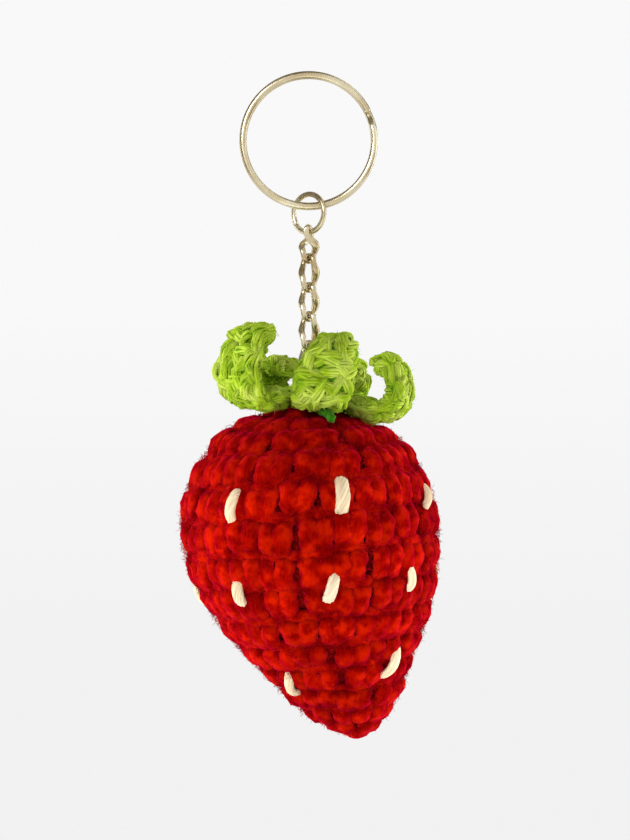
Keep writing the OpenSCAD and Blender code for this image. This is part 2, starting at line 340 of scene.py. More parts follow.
    def build(self, name, material):
        """The gathered mesh as an object, with each vertex's strand place and tone for its material."""
        piece = mesh_object(name, np.vstack(self.points), self.faces, material)
        mesh = piece.data
        mesh.attributes.new("strand", "FLOAT_VECTOR", "POINT").data.foreach_set(
            "vector", np.vstack(self.strand).astype(np.float32).ravel())
        mesh.attributes.new("tone", "FLOAT", "POINT").data.foreach_set(
            "value", (0.5 + 0.5 * np.concatenate(self.tone)).astype(np.float32))
        mesh.validate()
        return piece


# ---------------- materials

def start_material(name, **sockets):
    """A new material with a Principled shader, its constant values set on the shader's own sockets."""
    material = bpy.data.materials.new(name)
    material.use_nodes = True
    shader = material.node_tree.nodes["Principled BSDF"]
    for key, value in sockets.items():
        shader.inputs[key.replace("_", " ")].default_value = value
    return material, material.node_tree, shader


def add_node(tree, kind, **settings):
    made = tree.nodes.new(kind)
    for key, value in settings.items():
        if key in made.inputs:
            made.inputs[key].default_value = value
        else:
            setattr(made, key, value)
    return made


def object_noise(tree, **settings):
    """A noise texture laid out by the object's own coordinates."""
    place = add_node(tree, "ShaderNodeTexCoord")
    texture = add_node(tree, "ShaderNodeTexNoise", **settings)
    tree.links.new(place.outputs["Object"], texture.inputs["Vector"])
    return texture


def add_bump(tree, shader, texture, strength, distance):
    height = add_node(tree, "ShaderNodeBump", Strength=strength, Distance=distance)
    tree.links.new(texture.outputs["Fac"], height.inputs["Height"])
    tree.links.new(height.outputs["Normal"], shader.inputs["Normal"])


def ramp(tree, factor, stops):
    """A colour ramp: stops are (place, colour)."""
    made = tree.nodes.new("ShaderNodeValToRGB")
    elements = made.color_ramp.elements
    while len(elements) < len(stops):
        elements.new(0.5)
    for element, (place, colour) in zip(elements, stops):
        element.position = place
        element.color = (*colour, 1)
    tree.links.new(factor, made.inputs["Fac"])
    return made.outputs["Color"]


def mix_colour(tree, factor, a, b, blend="MIX"):
    made = tree.nodes.new("ShaderNodeMix")
    made.data_type = "RGBA"
    made.blend_type = blend
    for socket, value in (("Factor", factor), ("A", a), ("B", b)):
        target = [s for s in made.inputs if s.name == socket and s.enabled][0]
        if isinstance(value, bpy.types.NodeSocket):
            tree.links.new(value, target)
        else:
            target.default_value = value if socket == "Factor" else (*value, 1)
    return [s for s in made.outputs if s.enabled][0]


def grey(level):
    return (level, level, level)


def yarn_material(name, dark, base, light, sheen, sheen_tint, bump=0.25, patch=60, mottle=0.35):
    """Fibres along each strand, patches of lighter and darker dye, and a soft bloom of loose fibre."""
    material, tree, shader = start_material(
        name, Roughness=0.9, Sheen_Weight=sheen, Sheen_Roughness=0.4, Sheen_Tint=(*sheen_tint, 1),
        Specular_IOR_Level=0.0)
    strand = add_node(tree, "ShaderNodeAttribute", attribute_name="strand")
    tone = add_node(tree, "ShaderNodeAttribute", attribute_name="tone")
    stretch = add_node(tree, "ShaderNodeMapping", Scale=(0.55, 5.0, 5.0))
    tree.links.new(strand.outputs["Vector"], stretch.inputs["Vector"])
    fibres = add_node(tree, "ShaderNodeTexNoise", Scale=1.0, Detail=3.0, Roughness=0.6)
    tree.links.new(stretch.outputs["Vector"], fibres.inputs["Vector"])
    dye = object_noise(tree, Scale=patch, Detail=2.0, Roughness=0.5)
    fibre_colour = ramp(tree, fibres.outputs["Fac"], [(0.32, dark), (0.52, base), (0.7, light)])
    dyed = ramp(tree, dye.outputs["Fac"], [(0.36, dark), (0.5, base), (0.64, light)])
    mixed = mix_colour(tree, mottle, fibre_colour, dyed)
    # The tone attribute scales the colour. It carries each strand's random tone and, on the berry's yarn,
    # painted shade at the ends.
    toned = ramp(tree, tone.outputs["Fac"], [(0.0, grey(0.12)), (0.5, grey(0.72)), (1.0, grey(1.18))])
    tree.links.new(mix_colour(tree, 1.0, mixed, toned, "MULTIPLY"), shader.inputs["Base Color"])
    add_bump(tree, shader, fibres, bump, 0.0002)
    return material


def metal_material():
    """Plated champagne metal: polished, with fine wear and a warm tarnish in patches."""
    material, tree, shader = start_material("plated_metal", Metallic=1.0)
    tarnish = object_noise(tree, Scale=110.0, Detail=3.0, Roughness=0.5)
    wear = object_noise(tree, Scale=600.0, Detail=2.0, Roughness=0.5)
    colour = ramp(tree, tarnish.outputs["Fac"],
                  [(0.3, (0.46, 0.36, 0.20)), (0.5, (0.63, 0.54, 0.35)), (0.7, (0.83, 0.77, 0.58))])
    tree.links.new(colour, shader.inputs["Base Color"])
    rough = add_node(tree, "ShaderNodeMapRange", **{"To Min": 0.17, "To Max": 0.28})
    tree.links.new(wear.outputs["Fac"], rough.inputs["Value"])
    tree.links.new(rough.outputs["Result"], shader.inputs["Roughness"])
    add_bump(tree, shader, wear, 0.03, 0.00001)
    return material


def fibre_material(name, dark, light, scale, bump):
    """Matted fibre: no strands, only a soft tangle."""
    material, tree, shader = start_material(name, Roughness=0.95, Specular_IOR_Level=0.03)
    tangle = object_noise(tree, Scale=scale, Detail=6.0, Roughness=0.7, Distortion=1.2)
    colour = ramp(tree, tangle.outputs["Fac"], [(0.3, dark), (0.7, light)])
    tree.links.new(colour, shader.inputs["Base Color"])
    add_bump(tree, shader, tangle, bump, 0.0005)
    return material


METAL = metal_material()
RED = yarn_material("red_yarn", (0.16, 0.0, 0.0), (0.34, 0.003, 0.0), (0.56, 0.012, 0.0),
                    0.55, (1.0, 0.0, 0.09), bump=0.3, patch=420, mottle=0.7)
# Painted shade: the ground under the berry's stitches is dark red, so that the holes between the stitches
# show dark.
RED_SHADE_GROUND = fibre_material("red_shade_ground", (0.05, 0.0, 0.0), (0.20, 0.001, 0.0), 900.0, 0.4)
GREEN = yarn_material("green_yarn", (0.09, 0.24, 0.004), (0.32, 0.46, 0.015), (0.58, 0.67, 0.14),
                      0.4, (0.8, 1.0, 0.2), patch=260, mottle=0.45)
# Painted shade: the leaves' ground is dark green, so that the gaps between their bundles show dark.
GREEN_SHADE_GROUND = fibre_material("green_shade_ground", (0.03, 0.13, 0.0), (0.10, 0.30, 0.005), 900.0, 0.4)
DARK_GREEN = yarn_material("dark_green_yarn", (0.02, 0.10, 0.005), (0.05, 0.22, 0.01), (0.10, 0.34, 0.02),
                           0.2, (0.6, 1.0, 0.4))
CREAM = yarn_material("cream_yarn", (0.62, 0.44, 0.26), (0.85, 0.70, 0.46), (0.95, 0.84, 0.62),
                      0.3, (1.0, 0.8, 0.7), bump=0.35)
FILLING = fibre_material("fibre_filling", (0.75, 0.75, 0.73), (0.95, 0.95, 0.93), 700.0, 0.8)


# ---------------- split ring, jump ring and chain

def superellipse(half_w, half_t, sides, power=2.1):
    """A rounded rectangle's outline, as (across, over) in millimetres."""
    a = circle(sides)
    c, s = np.cos(a), np.sin(a)
    return np.stack([half_w * np.sign(c) * np.abs(c) ** (2 / power),
                     half_t * np.sign(s) * np.abs(s) ** (2 / power)], 1)


def split_ring():
    """One flat wire coiled twice, which steps from the front coil to the back one."""
    lo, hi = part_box("split_ring")
    radius = (hi.x - lo.x) / 2 / MM - RING_WIRE_W / 2
    layer = (RING_WIRE_T + RING_COIL_GAP) / 2
    start = RING_STEP_AT + RING_STEP_HALF + RING_END_GAP
    angles = np.radians(np.linspace(start, start + 2 * 360 - 3 * RING_END_GAP, 340))
    turn = (np.degrees(angles) - (RING_STEP_AT + 360 - RING_STEP_HALF)) / (2 * RING_STEP_HALF)
    y = layer * (2 * eased(np.clip(turn, 0, 1)) - 1)
    section = superellipse(RING_WIRE_W / 2, RING_WIRE_T / 2, 20)
    out = np.stack([np.cos(angles), np.zeros_like(angles), np.sin(angles)], 1)
    path = out * radius + np.stack([np.zeros_like(y), y, np.zeros_like(y)], 1)
    grid = path[:, None, :] + section[None, :, :1] * out[:, None, :]
    grid = grid + section[None, :, 1:] * np.array([0.0, 1.0, 0.0])
    parts = Parts()
    parts.rings(grid)
    piece = parts.build("split_ring_coils", METAL)
    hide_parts("split_ring")
    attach(piece, "split_ring")


def jump_ring():
    """A round wire bent to a ring, with its cut a little open."""
    lo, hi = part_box("jump_ring")
    centre_z = (lo.z + hi.z) / 2 / MM
    radius = (hi.z - lo.z) / 2 / MM - JUMP_WIRE / 2
    angles = np.radians(np.linspace(JUMP_CUT_AT + JUMP_CUT_HALF, JUMP_CUT_AT + 360 - JUMP_CUT_HALF, 96))
    turn = math.radians(-JUMP_TURN)
    flat = np.array([math.cos(turn), math.sin(turn), 0])
    path = np.outer(np.cos(angles), flat) * radius
    path[:, 2] = centre_z + radius * np.sin(angles)
    parts = Parts()
    across, over = frames_along(path)
    wire_r = np.full((len(path), 1), JUMP_WIRE / 2)
    parts.tube(path, across, over, wire_r, 16, 0.5, lengths_along(path))
    piece = parts.build("jump_ring_wire", METAL)
    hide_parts("jump_ring")
    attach(piece, "jump_ring")


def link_path(half_h, top_turn, bottom_turn):
    """A link's closed middle line: a long ring, twisted about its length."""
    end_r = (LINK_W - LINK_WIRE) / 2
    straight = half_h - end_r
    arc = np.radians(np.linspace(0, 180, 13))
    top = np.stack([end_r * np.cos(arc), straight + end_r * np.sin(arc)], 1)
    left = np.stack([np.full(5, -end_r), np.linspace(straight, -straight, 7)[1:-1]], 1)
    bottom = -top
    right = -left
    flat = np.vstack([top, left, bottom, right])
    share = np.clip(flat[:, 1] / straight, -1, 1) / 2 + 0.5
    turn = np.radians(bottom_turn + (top_turn - bottom_turn) * eased(share))
    return np.stack([flat[:, 0] * np.cos(turn), flat[:, 0] * np.sin(turn), flat[:, 1]], 1)


def chain_link(i):
    """A curb link: twisted wire with its faces ground flat."""
    node = f"chain_link_{i}"
    lo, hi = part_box(node)
    half_h = (hi.z - lo.z) / 2 / MM - LINK_WIRE / 2
    path = link_path(half_h, FIRST_LINK_TOP_TURN if i == 1 else LINK_TOP_TURN, LINK_BOTTOM_TURN)
    n = len(path)
    looped = np.vstack([path[-4:], path, path[:4]])
    all_across, all_over = frames_along(looped)
    across, over = all_across[4 : 4 + n], all_over[4 : 4 + n]
    straight = half_h - (LINK_W - LINK_WIRE) / 2
    bar = 1 - np.clip(np.abs(path[:, 2]) / straight, 0, 1) ** 1.5
    swelling = LINK_BAR_SWELL + LINK_FRONT_SWELL * np.clip(path[:, 0], 0, 1)
    r = LINK_WIRE / 2 * (1 + swelling * bar)[:, None, None]
    # The carried frame comes back turned; the turn is spread over the loop so that its ends meet.
    first, last = across[0], all_across[-4]
    lag = math.atan2(float(np.cross(first, last) @ unit(path[1] - path[-1])), float(first @ last))
    a = circle(14)[None, :] - (lag * np.arange(n) / n)[:, None]
    out = np.cos(a)[..., None] * across[:, None, :] + np.sin(a)[..., None] * over[:, None, :]
    grid = path[:, None, :] + r * out
    grid[..., 1] = np.clip(grid[..., 1], -LINK_FLAT_Y, LINK_FLAT_Y)
    grid[..., 2] += (hi.z + lo.z) / 2 / MM
    parts = Parts()
    parts.rings(grid, closed=True)
    piece = parts.build(f"curb_link_{i}", METAL)
    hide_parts(node)
    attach(piece, node)


# ---------------- the berry

def body_centre(s):
    """The berry's middle line, at a share s of its height from the crown."""
    x = min(1, s / 0.04) * (SHOULDER_X + 0.9 * s + (TIP_X - SHOULDER_X - 0.9) * s * s)
    return np.array([x, 0, CROWN_Z - BERRY_H * s])


def body_slope(s):
    """Slope of the crochet rounds, in radians."""
    return math.radians(ROUND_SLOPE - (ROUND_SLOPE + CALYX_SLOPE) * max(0, 1 - s / 0.12) ** 2)


def spoke(s, azimuth):
    """The direction from the middle line out to the cover."""
    tilt = body_slope(s)
    ahead = math.cos(azimuth)
    return np.array([ahead * math.cos(tilt), math.sin(azimuth), ahead * math.sin(tilt)])


LEVELS = (1 - np.cos(np.linspace(0.02, 0.985, 64) * math.pi)) / 2
AZIMUTHS = circle(72)


def surface_grid(node, reach=60.0):
    """Points on the node's outside at every level and azimuth, where rays that come in meet it."""
    tree = BVHTree.FromObject(node, bpy.context.evaluated_depsgraph_get())
    grid = np.zeros((len(LEVELS), len(AZIMUTHS), 3))
    for i, s in enumerate(LEVELS):
        centre = body_centre(s)
        for j, azimuth in enumerate(AZIMUTHS):
            way = spoke(s, azimuth)
            start = Vector((centre + way * reach) * MM)
            hit = tree.ray_cast(start, Vector(-way))[0]
            grid[i, j] = np.array(hit) / MM if hit is not None else centre
    return grid


def grid_normals(grid):
    down = np.gradient(grid, axis=0)
    around = np.roll(grid, -1, 1) - np.roll(grid, 1, 1)
    return unit(np.cross(down, around))


def closed_skin(grid, name, material):
    """A closed body over rings of points, with a point at each end."""
    n, m = grid.shape[:2]
    points = np.vstack([grid.reshape(-1, 3), grid[0].mean(0), grid[-1].mean(0)])
    faces = ring_faces(n, m)
    for j in range(m):
        q = (j + 1) % m
        faces.append((n * m, j, q))
        faces.append((n * m + 1, (n - 1) * m + q, (n - 1) * m + j))
    return mesh_object(name, points, faces, material)


def apply_modifier(obj, modifier):
    bpy.context.view_layer.objects.active = obj
    bpy.ops.object.modifier_apply(modifier=modifier.name)


def swell(grid):
    """How far the stuffing presses each point of the cover out or lets it sink, by cloth simulation.

    It runs on a copy SIM_SCALE times as large, because cloth hardly moves at a keychain's size."""
    body = closed_skin(grid * SIM_SCALE, "pressed_cover", RED_SHADE_GROUND)
    remesh = body.modifiers.new("remesh", "REMESH")
    remesh.mode = "VOXEL"
    remesh.voxel_size = SIM_MESH * SIM_SCALE * MM
    apply_modifier(body, remesh)
    before = np.array([v.co for v in body.data.vertices])
    outward = np.array([v.normal for v in body.data.vertices])
    cloth = body.modifiers.new("cloth", "CLOTH")
    for key, value in SIM_CLOTH.items():
        setattr(cloth.settings, key, value)
    cloth.settings.effector_weights.gravity = 0
    cloth.point_cache.frame_start = 1
    cloth.point_cache.frame_end = SIM_FRAMES
    for step in range(1, SIM_FRAMES + 1):
        bpy.context.scene.frame_set(step)
    apply_modifier(body, cloth)
    after = np.array([v.co for v in body.data.vertices])
    bpy.context.scene.frame_set(1)
    out = ((after - before) * outward).sum(1) / SIM_SCALE / MM
    near = KDTree(len(before))
    for i, co in enumerate(before / SIM_SCALE / MM):
        near.insert(co, i)
    near.balance()
    bpy.data.objects.remove(body)
    push = np.array([np.mean([out[i] for _, i, _ in near.find_n(p, 10)]) for p in grid.reshape(-1, 3)])
    return np.clip(push - push.mean(), -SWELL_CAP, SWELL_CAP).reshape(grid.shape[:2])


def berry_ground():
    """The stuffed cover under the stitches. Returns the grid of its outside and the grid's normals."""
    outside = surface_grid(frame["nodes"]["berry_cover"])
    normals = grid_normals(outside)
    outside = outside + normals * lumps(outside, 0.35)[..., None]
    grid = outside - grid_normals(outside) * COVER_DEPTH
    grid = grid + normals * swell(grid)[..., None]
    return grid, grid_normals(grid)


def lumps(grid, size):
    """A slow unevenness in the stuffing, as a height for each point of the grid."""
    height = np.zeros(grid.shape[:2])
    for _ in range(22):
        i, j = rng.randrange(len(LEVELS)), rng.randrange(len(AZIMUTHS))
        away = np.linalg.norm(grid - grid[i, j], axis=2)
        height += rng.uniform(-size, size) * np.exp(-((away / rng.uniform(6, 12)) ** 2))
    return height


class Surface:
    """The berry's ground, read at any level along a meridian and any azimuth."""

    def __init__(self, grid):
        self.grid = grid
        self.normals = grid_normals(grid)
        mean = grid.mean(1)
        spread = np.linalg.norm(grid - mean[:, None], axis=2).mean(1)
        steps = np.hypot(np.diff(spread), np.diff(mean[:, 2]))
        self.length = np.concatenate([[0], np.cumsum(steps)])
        self.radius = spread

    def at(self, length, azimuth):
        """Points and normals at lengths down the meridian, in millimetres, and azimuths, in radians."""
        row = np.interp(length, self.length, np.arange(len(self.length)))
        column = (np.asarray(azimuth) / math.tau * len(AZIMUTHS)) % len(AZIMUTHS)
        i = np.minimum(row.astype(int), len(self.length) - 2)
        j = column.astype(int) % len(AZIMUTHS)
        k = (j + 1) % len(AZIMUTHS)
        a, b = (row - i)[:, None], (column - column.astype(int))[:, None]

        def read(grid):
            return ((grid[i, j] * (1 - b) + grid[i, k] * b) * (1 - a)
                    + (grid[i + 1, j] * (1 - b) + grid[i + 1, k] * b) * a)
        return read(self.grid), unit(read(self.normals))

    def length_at_share(self, share):
        return float(np.interp(share, LEVELS, self.length))

    def radius_at(self, length):
        return float(np.interp(length, self.length, self.radius))


# A single crochet stitch: shares of its width and height, and millimetres above the ground.
LEG = [(0.13, -0.57, -0.8), (0.16, -0.43, 0.40), (0.21, -0.14, 1.05), (0.24, 0.12, 1.05),
       (0.27, 0.30, 0.60), (0.27, 0.42, -0.4)]
TOP_LOOP = [(-0.66, 0.38, -0.3), (-0.36, 0.46, 0.45), (0.0, 0.52, 0.65), (0.36, 0.46, 0.45),
            (0.66, 0.38, -0.3)]
STITCH_SHEAR = 0.16
ROUND_SHIFT = 0.64         # each round starts this share of a stitch further round
# How far single stitches stray: in place round the berry and down it, height, size, shear and brightness.
STRAY_ROUND = (-0.12, 0.12)
STRAY_LIFT = (-0.25, 0.15)
STRAY_DROP = (-0.10, 0.10)
STRAY_SIZE = (0.90, 1.08)
STRAY_SHEAR = (-0.05, 0.05)
STITCH_TONE = (0.2, 0.85)


def round_edges(surface):
    """Lengths down the meridian at the edges between rounds: rounds are taller where the berry is wide."""
    def height(length):
        return ROUND_H_NARROW + ROUND_H_WIDE * surface.radius_at(length) / BERRY_R
    start = surface.length_at_share(ROUND_EDGE_AT)
    edges = [start]
    while edges[0] > 2.0:
        edges.insert(0, edges[0] - height(edges[0]))
    while edges[-1] < surface.length[-1] - 1.0:
        edges.append(edges[-1] + height(edges[-1]))
    return edges


def stitch_round(surface, number, top, bottom, phase):
    """One round of single crochet, from its top edge to its bottom edge."""
    middle = (top + bottom) / 2
    radius = max(1.5, surface.radius_at(min(max(middle, 0), surface.length[-1])))
    count = max(5, round(math.tau * radius / STITCH_W))
    height = bottom - top
    parts = Parts()
    for k in range(count):
        turn = math.tau / count
        azimuth = phase + (k + rng.uniform(*STRAY_ROUND)) * turn
        lift = rng.uniform(*STRAY_LIFT)
        drop = rng.uniform(*STRAY_DROP)
        size = rng.uniform(*STRAY_SIZE)
        lean = STITCH_SHEAR + rng.uniform(*STRAY_SHEAR)
        tone = rng.uniform(*STITCH_TONE)
        for shape, mirror in ((TOP_LOOP, 1), (LEG, -1), (LEG, 1)):
            points = np.array(shape)
            u = points[:, 0] * mirror * size + lean * points[:, 1]
            v = points[:, 1] + drop
            length = np.clip(middle - v * height, 0.05, surface.length[-1] - 0.05)
            p, n = surface.at(length, azimuth + u * turn)
            path = p + n * (points[:, 2] + lift)[:, None]
            yarn_r = RED_YARN_R * rng.uniform(0.93, 1.07) * (LOOP_SHARE if shape is TOP_LOOP else 1.0)
            side = np.cross(path[-2] - path[1], n[len(n) // 2])
            # The last argument is how strongly painted shade darkens this yarn's ends.
            parts.soft_yarn(spline(path, 0.7), yarn_r, side, tone + rng.uniform(-0.12, 0.12),
                            rng.uniform(0.2, 1.6))
    chance = np.random.default_rng(number)
    fibres = round(ROUND_FIBRES * radius / BERRY_R)
    lengths = chance.uniform(max(0.1, top), min(bottom, surface.length[-1] - 0.1), fibres)
    p, n = surface.at(lengths, chance.uniform(0, math.tau, fibres))
    roots = p + n * chance.uniform(1.2, 2.0, (fibres, 1))
    ways = unit(chance.normal(0, 0.6, p.shape) - n * 0.15)
    parts.fuzz(roots, ways, ROUND_FIBRE, 0.04, 0.5)
    piece = parts.build(f"crochet_round_{number:02d}", RED)
    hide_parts("berry_cover")
    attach(piece, "strawberry")
    return count


def berry():
    """The cover: a stuffed ground with rounds of stitches on it."""
    grid, normals = berry_ground()
    inner = grid - normals * COVER_T
    shell = Parts()
    skin = np.concatenate([grid, inner[::-1]])
    shell.rings(skin, caps=False)
    # The ground takes the dark red of painted shade, which shows in the holes between the stitches.
    piece = shell.build("berry_ground", RED_SHADE_GROUND)
    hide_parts("berry_cover")
    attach(piece, "strawberry")
    surface = Surface(grid)
    edges = round_edges(surface)
    phase = 0.4
    for number, (top, bottom) in enumerate(zip(edges[:-1], edges[1:]), 1):
        count = stitch_round(surface, number, top, bottom, phase)
        phase += (ROUND_SHIFT + rng.uniform(-0.12, 0.12)) * math.tau / count
    return surface


# The two stitches that draw the last round together: the azimuth of each and how much higher it lies.
CLOSING = [(0.2, 0.0), (1.8, 0.35)]
CLOSING_LENGTHS = [3.0, 1.7, 0.6, 0.6, 1.7, 3.0]
CLOSING_HEIGHTS = [0.2, 0.9, 1.3, 1.3, 0.9, 0.2]


def closing_stitches(surface):
    """Two short stitches across the tip, where the last round is drawn together."""
    parts = Parts()
    for azimuth, lift in CLOSING:
        azimuths = azimuth + np.array([0, 0, 0, 1, 1, 1]) * math.pi
        p, n = surface.at(surface.length[-1] - np.array(CLOSING_LENGTHS), azimuths)
        path = p + n * (np.array(CLOSING_HEIGHTS) + lift)[:, None]
        side = np.cross(path[-1] - path[0], n.mean(0))
        # The last argument is how strongly painted shade darkens this yarn's ends.
        parts.soft_yarn(spline(path, 0.7), RED_YARN_R, side, 0.45, 0.8)
    piece = parts.build("crochet_closing", RED)
    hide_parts("berry_cover")
    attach(piece, "strawberry")


# A seed's arch: shares of its half length, and millimetres above the ground.
SEED_ARCH = [(-0.88, -0.8), (-0.80, 0.9), (-0.42, 2.0), (0, 2.3), (0.42, 2.0), (0.80, 0.9), (0.88, -0.8)]


def seeds(surface):
    """Each seed is a short stitch of cream yarn that dives into the cover at both ends."""
    for node in sorted(n for n in frame["nodes"] if n.startswith("seed_")):
        lo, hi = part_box(node)
        co = np.array([v.co for v in frame["nodes"][node].data.vertices]) / MM
        centre = co.mean(0)
        axis = np.linalg.svd(co - centre, full_matrices=False)[2][0]
        axis = axis * (-1 if axis[2] < 0 else 1)
        along = (co - centre) @ axis
        centre = centre + axis * (along.max() + along.min()) / 2
        half = float(along.max() - along.min()) / 2
        nearest = np.linalg.norm(surface.grid - centre, axis=2)
        i, j = np.unravel_index(nearest.argmin(), nearest.shape)
        n = surface.normals[i, j]
        side = np.cross(n, axis)
        ground = centre + n * float((surface.grid[i, j] - centre) @ n)
        bow = rng.uniform(0.05, 0.22) * rng.choice((-1, 1))
        points = [ground + axis * half * a + n * h + side * bow * math.sin(a * 2.6) for a, h in SEED_ARCH]
        parts = Parts()
        parts.flat_yarn(spline(points, 0.35), SEED_YARN_R * SEED_PULL.get(node, SEED_USUAL_PULL), side)
        piece = parts.build("yarn_" + node, CREAM)
        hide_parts(node)
        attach(piece, "strawberry")


# ---------------- calyx

CALYX_TILT = math.radians(CALYX_SLOPE)
CALYX_UP = np.array([math.sin(CALYX_TILT), 0, math.cos(CALYX_TILT)])
CALYX_RIGHT = np.array([math.cos(CALYX_TILT), 0, -math.sin(CALYX_TILT)])
CALYX_BACK = np.array([0.0, 1.0, 0.0])


def calyx_point(radius, azimuth, height):
    """A point on the calyx, from its own centre."""
    out = CALYX_RIGHT * math.cos(azimuth) + CALYX_BACK * math.sin(azimuth)
    return np.array(CALYX_PLACE) + out * radius + CALYX_UP * height


class Leaf:
    """A leaf's curled form, which gives points on it from places along it, across it and above its middle."""

    def __init__(self, name):
        (droop, flat, bend_r, bend, rise, curl_r, curl), self.widths, self.drift = LEAVES[name]
        self.droop = math.radians(droop)
        self.stretches = [(flat, 0), (bend_r * math.radians(bend), bend_r), (rise, 0),
                          (curl_r * math.radians(curl), curl_r)]
        joint = joints[name + "_flex"]
        self.hinge = np.array(joint["pos_m"]) / MM
        self.axis = np.array(joint["axis"])
        self.out = np.cross(CALYX_UP, self.axis)
        self.length = sum(length for length, _ in self.stretches)

    def half_width(self, t):
        root, middle, tip = self.widths
        bulge = math.sin(math.pi * min(max(t, 0), 1) ** 0.75) ** 0.8
        return (root * (1 - t) + tip * t) * (1 - bulge) + middle * bulge

    def middle(self, t):
        """Reach outwards from the hinge, rise above it and direction of the middle line."""
        reach, rise, way, left = 0.0, 0.0, -self.droop, self.length * t
        for length, r in self.stretches:
            part = min(left, length)
            if r == 0:
                reach += part * math.cos(way)
                rise += part * math.sin(way)
            else:
                turned = way + part / r
                reach += r * (math.sin(turned) - math.sin(way))
                rise += r * (math.cos(way) - math.cos(turned))
                way = turned
            left -= part
            if left <= 0:
                break
        return reach, rise, way

    def at(self, t, across, height):
        """t runs from 0 at the hinge to 1 at the tip, across from -1 to 1, height in millimetres inwards."""
        reach, rise, way = self.middle(t)
        inward = -self.out * math.sin(way) + CALYX_UP * math.cos(way)
        middle = self.hinge + self.out * reach + CALYX_UP * rise
        return middle - self.axis * (across * self.half_width(t) - self.drift * t * t) + inward * height


def narrowing(t, start, length, least):
    """The share of its width that the leaf keeps at t, where its tip rounds off from start over length."""
    return math.sqrt(max(least, 1 - max(0, (t - start) / length) ** 2))


def leaf_ground(leaf):
    """The dense middle of the leaf, under its stitches."""
    rings = []
    for t in np.linspace(0.0, 0.97, 26):
        end = narrowing(t, 0.86, 0.115, 0.08)
        rings.append([leaf.at(t, 0.80 * end * math.cos(a), end * math.sin(a)) for a in circle(16)])
    parts = Parts()
    parts.rings(np.array(rings))
    return parts


def leaf_piece(name):
    """A crocheted leaf: yarn along its outline, rows inside that, and slanting stitches in the middle."""
    leaf = Leaf(name)
    # The leaf's ground takes the dark green of painted shade in the gaps between the bundles.
    ground = leaf_ground(leaf).build(name + "_ground", GREEN_SHADE_GROUND)
    parts = Parts()

    def lay(points, radius=GREEN_YARN_R):
        path = spline([leaf.at(*p) for p in points], 0.7)
        parts.loose_yarn(path, radius * rng.uniform(0.92, 1.05), rng.uniform(0.3, 0.75))

    # Short bundles in rows across the leaf. Most slant one way or the other, and some lie straight across.
    rows = max(6, round(leaf.length / LEAF_ROW_H))
    for face in (-1, 1):
        for row in range(rows):
            columns = max(3, round(leaf.half_width(row / rows)))
            for column in range(columns):
                t = 0.05 + 0.87 * row / (rows - 1) + rng.uniform(-0.03, 0.03)
                tip = narrowing(t, 0.72, 0.26, 0.15)
                w = ((2 * (column + 0.5) / columns - 1) * 0.86 + rng.uniform(-0.12, 0.12)) * tip
                way = math.radians(rng.choice((25, 40, 55, 80))) * (1 if (row + column) % 2 else -1)
                half = rng.uniform(1.5, 2.5)
                slant = half * math.sin(way) / leaf.half_width(t)
                rise = half * math.cos(way) / leaf.length
                bow = rng.uniform(-0.10, 0.10)
                lift = math.sqrt(max(0.05, 1 - min(1, abs(w)) ** 2)) * rng.uniform(0.8, 1.1)
                bundle = [(t - rise, w - slant, 0.55), (t - rise * 0.5, w - slant * 0.4 + bow, 1.15),
                          (t + rise * 0.5, w + slant * 0.4 + bow, 1.30), (t + rise, w + slant, 0.60)]
                lay([(min(max(0, a), LEAF_END), min(max(-LEAF_EDGE, b), LEAF_EDGE), face * h * lift)
                     for a, b, h in bundle], GREEN_YARN_R * rng.uniform(0.85, 1.12))
    # The yarn round the outline, in stretches that dive in and come out again.
    rim = [(0.93 * k / 8, 0.80 + 0.07 * math.sin(k * 2.2), 0.35 * math.sin(k * 1.9)) for k in range(9)]
    round_tip = [(0.975, 0.4, 0.2), (0.985, 0.0, -0.2), (0.975, -0.4, 0.2)]
    lay(rim + round_tip + [(t, -w, -h) for t, w, h in reversed(rim)], GREEN_YARN_R * 0.9)
    along = [rng.uniform(0.05, 0.97) for _ in range(LEAF_FIBRES)]
    over = [rng.uniform(-1, 1) for _ in range(LEAF_FIBRES)]
    face = [rng.choice((-1, 1)) for _ in range(LEAF_FIBRES)]
    roots = np.array([leaf.at(t, w, side * 1.35 * math.sqrt(1.02 - w * w))
                      for t, w, side in zip(along, over, face)])
    core = np.array([leaf.at(t, w * 0.6, 0) for t, w in zip(along, over)])
    ways = unit(unit(roots - core) + np.random.default_rng(5).normal(0, 0.8, roots.shape))
    parts.fuzz(roots, ways, LEAF_FIBRE)
    piece = parts.build(name + "_stitches", GREEN)
    for made in (ground, piece):
        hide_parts(name)
        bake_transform(made)


# One leg of a stitch on the calyx disc: radius, share of the stitch's half width, height.
DISC_LEG = [(2.7, 0.1, -0.6), (3.0, 0.25, 0.75), (4.1, 0.5, 1.25), (5.3, 0.8, 0.75), (5.75, 0.95, -0.1),
            (5.2, 0.9, -0.9), (4.0, 0.7, -1.0)]


def calyx_disc():
    """The middle of the calyx: a ring of stitches round the hole that the chain's loop comes through."""
    parts = Parts()
    count = 10
    for k in range(count):
        a = math.tau * k / count + rng.uniform(-0.08, 0.08)
        w = math.pi / count
        for side in (-1, 1):
            points = [calyx_point(r, a + side * w * u, h) for r, u, h in DISC_LEG]
            parts.loose_yarn(spline(points, 0.7), GREEN_YARN_R * 0.95, rng.uniform(0.3, 0.75))
    for radius, height in ((3.3, 0.2), (6.0, -0.2)):
        points = [calyx_point(radius + 0.15 * math.sin(5 * a), a, height + 0.2 * math.sin(7 * a))
                  for a in np.linspace(0, math.tau, 33)]
        parts.loose_yarn(spline(points, 0.7), GREEN_YARN_R * 0.85)
    piece = parts.build("calyx_disc", GREEN)
    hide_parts("calyx_centre", "calyx_stitches")
    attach(piece, "strawberry")


